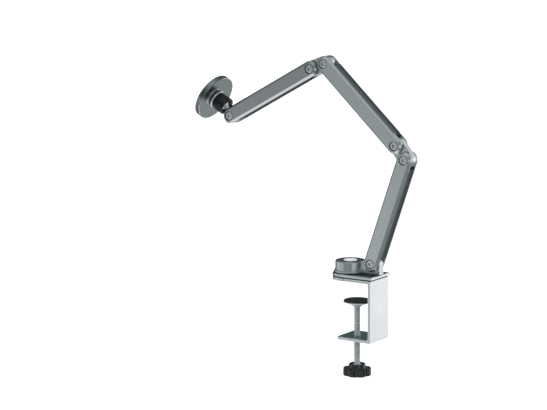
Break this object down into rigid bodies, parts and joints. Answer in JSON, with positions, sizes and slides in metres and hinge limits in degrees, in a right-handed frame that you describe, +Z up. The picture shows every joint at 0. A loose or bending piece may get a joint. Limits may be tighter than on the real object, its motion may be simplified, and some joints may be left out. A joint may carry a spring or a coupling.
{
  "type": "foldable tablet stand",
  "caption": "Desk-clamp tablet stand with a swivelling base, folding metal arms on double-pivot links and a magnetic disc on a ball joint.",
  "frame": {"origin": "on the desk surface, centre of the thin pad under the clamp's top plate, on the clamp screw's axis", "axes": "+Z up, +X from the clamp's open mouth to its back wall, Y along the arm pivots"},
  "size_m": [0.3188, 0.0612, 0.3978],
  "materials": {
    "arm_metal": "satin grey anodised",
    "clamp_metal": "bright satin",
    "steel": "turned",
    "ball_steel": "polished",
    "black_plastic": "moulded",
    "collar_black": "semi-gloss",
    "strip_plastic": "dark satin",
    "rubber": "matt",
    "bronze": "sintered"
  },
  "bodies": {
    "clamp": {"clamp_bracket": "clamp_metal", "desk_pad": "rubber", "thread_bush": "steel", "base_plate": "clamp_metal", "plate_gasket": "rubber", "plate_screws": "steel", "bearing_washer": "black_plastic", "swivel_bolt": "steel", "swivel_washers": "steel"},
    "clamp_tip": {"screw_tip": "steel"},
    "clamp_foot": {"foot_plate": "clamp_metal", "foot_pad": "rubber"},
    "clamp_handle": {"clamp_screw": "steel", "hand_knob": "black_plastic", "knob_nut": "steel"},
    "swivel_base": {"turntable": "arm_metal", "swivel_bush": "bronze", "centre_cap": "clamp_metal", "base_pivot_bush": "bronze"},
    "lower_arm": {"lower_arm": "arm_metal", "lower_arm_screws": "steel", "lower_arm_nuts": "steel", "lower_arm_washers": "black_plastic", "lower_arm_strips": "strip_plastic"},
    "lower_link": {"lower_link": "arm_metal", "lower_link_bushes": "bronze"},
    "middle_arm": {"middle_arm": "arm_metal", "middle_arm_screws": "steel", "middle_arm_nuts": "steel", "middle_arm_washers": "black_plastic", "middle_arm_strips": "strip_plastic"},
    "upper_link": {"upper_link": "arm_metal", "upper_link_bushes": "bronze"},
    "upper_arm": {"upper_arm": "arm_metal", "upper_arm_screws": "steel", "upper_arm_nuts": "steel", "upper_arm_washers": "black_plastic", "upper_arm_strips": "strip_plastic"},
    "ball_stud": {"ball_stud": "ball_steel", "stud_bush": "bronze"},
    "ball_liner": {"ball_liner": "black_plastic"},
    "ball_socket": {"ball_socket": "clamp_metal", "socket_washer": "steel", "socket_screw": "steel"},
    "locking_collar": {"locking_collar": "collar_black"},
    "disc": {"disc_housing": "arm_metal", "backing_plate": "steel", "magnet_carrier": "black_plastic", "magnets": "steel", "face_pad": "rubber"}
  },
  "joints": [
    {"name": "base_swivel", "type": "hinge", "parent": "clamp", "child": "swivel_base", "pos_m": [-0.01, 0, 0.0096], "axis": [0, 0, 1], "continuous": true},
    {"name": "base_fold", "type": "hinge", "parent": "swivel_base", "child": "lower_arm", "pos_m": [0.0245, 0, 0.0231], "axis": [0, -1, 0], "range_deg": [-62, 62]},
    {"name": "lower_link_fold", "type": "hinge", "parent": "lower_arm", "child": "lower_link", "pos_m": [0.07095, 0, 0.15464], "axis": [0, -1, 0], "range_deg": [-148, 30]},
    {"name": "middle_arm_fold", "type": "hinge", "parent": "lower_link", "child": "middle_arm", "pos_m": [0.05743, 0, 0.17116], "axis": [0, 1, 0], "range_deg": [-72, 97]},
    {"name": "upper_link_fold", "type": "hinge", "parent": "middle_arm", "child": "upper_link", "pos_m": [-0.0446, 0, 0.2663], "axis": [0, 1, 0], "range_deg": [-28, 151]},
    {"name": "upper_arm_fold", "type": "hinge", "parent": "upper_link", "child": "upper_arm", "pos_m": [-0.06484, 0, 0.25953], "axis": [0, -1, 0], "range_deg": [-98, 79]},
    {"name": "head_fold", "type": "hinge", "parent": "upper_arm", "child": "ball_stud", "pos_m": [-0.18847, 0, 0.1949], "axis": [0, -1, 0], "range_deg": [-30, 160]},
    {"name": "ball_pitch", "type": "hinge", "parent": "ball_stud", "child": "ball_liner", "pos_m": [-0.20593, 0, 0.20924], "axis": [0, -1, 0], "range_deg": [-28, 10]},
    {"name": "ball_yaw", "type": "hinge", "parent": "ball_liner", "child": "ball_socket", "pos_m": [-0.20593, 0, 0.20924], "axis": [0.5015, 0, 0.8652], "range_deg": [-20, 20]},
    {"name": "collar_turn", "type": "hinge", "parent": "ball_socket", "child": "locking_collar", "pos_m": [-0.20593, 0, 0.20924], "axis": [0.8652, 0, -0.5015], "range_deg": [-90, 90]},
    {"name": "disc_spin", "type": "hinge", "parent": "ball_socket", "child": "disc", "pos_m": [-0.21631, 0, 0.21526], "axis": [0.8652, 0, -0.5015], "continuous": true},
    {"name": "screw_feed", "type": "slide", "parent": "clamp", "child": "clamp_tip", "axis": [0, 0, 1], "range_m": [-0.0321, 0.0231]},
    {"name": "foot_tilt", "type": "hinge", "parent": "clamp_tip", "child": "clamp_foot", "pos_m": [0, 0, -0.0312], "axis": [0, 1, 0], "range_deg": [-3, 3]},
    {"name": "knob_turn", "type": "hinge", "parent": "clamp_tip", "child": "clamp_handle", "pos_m": [0, 0, -0.117], "axis": [0, 0, 1], "range_deg": [-9273.6, 6681.6]}
  ],
  "couplings": [
    {"joint": "knob_turn", "follows": "screw_feed", "rad_per_m": 5026.5}
  ]
}
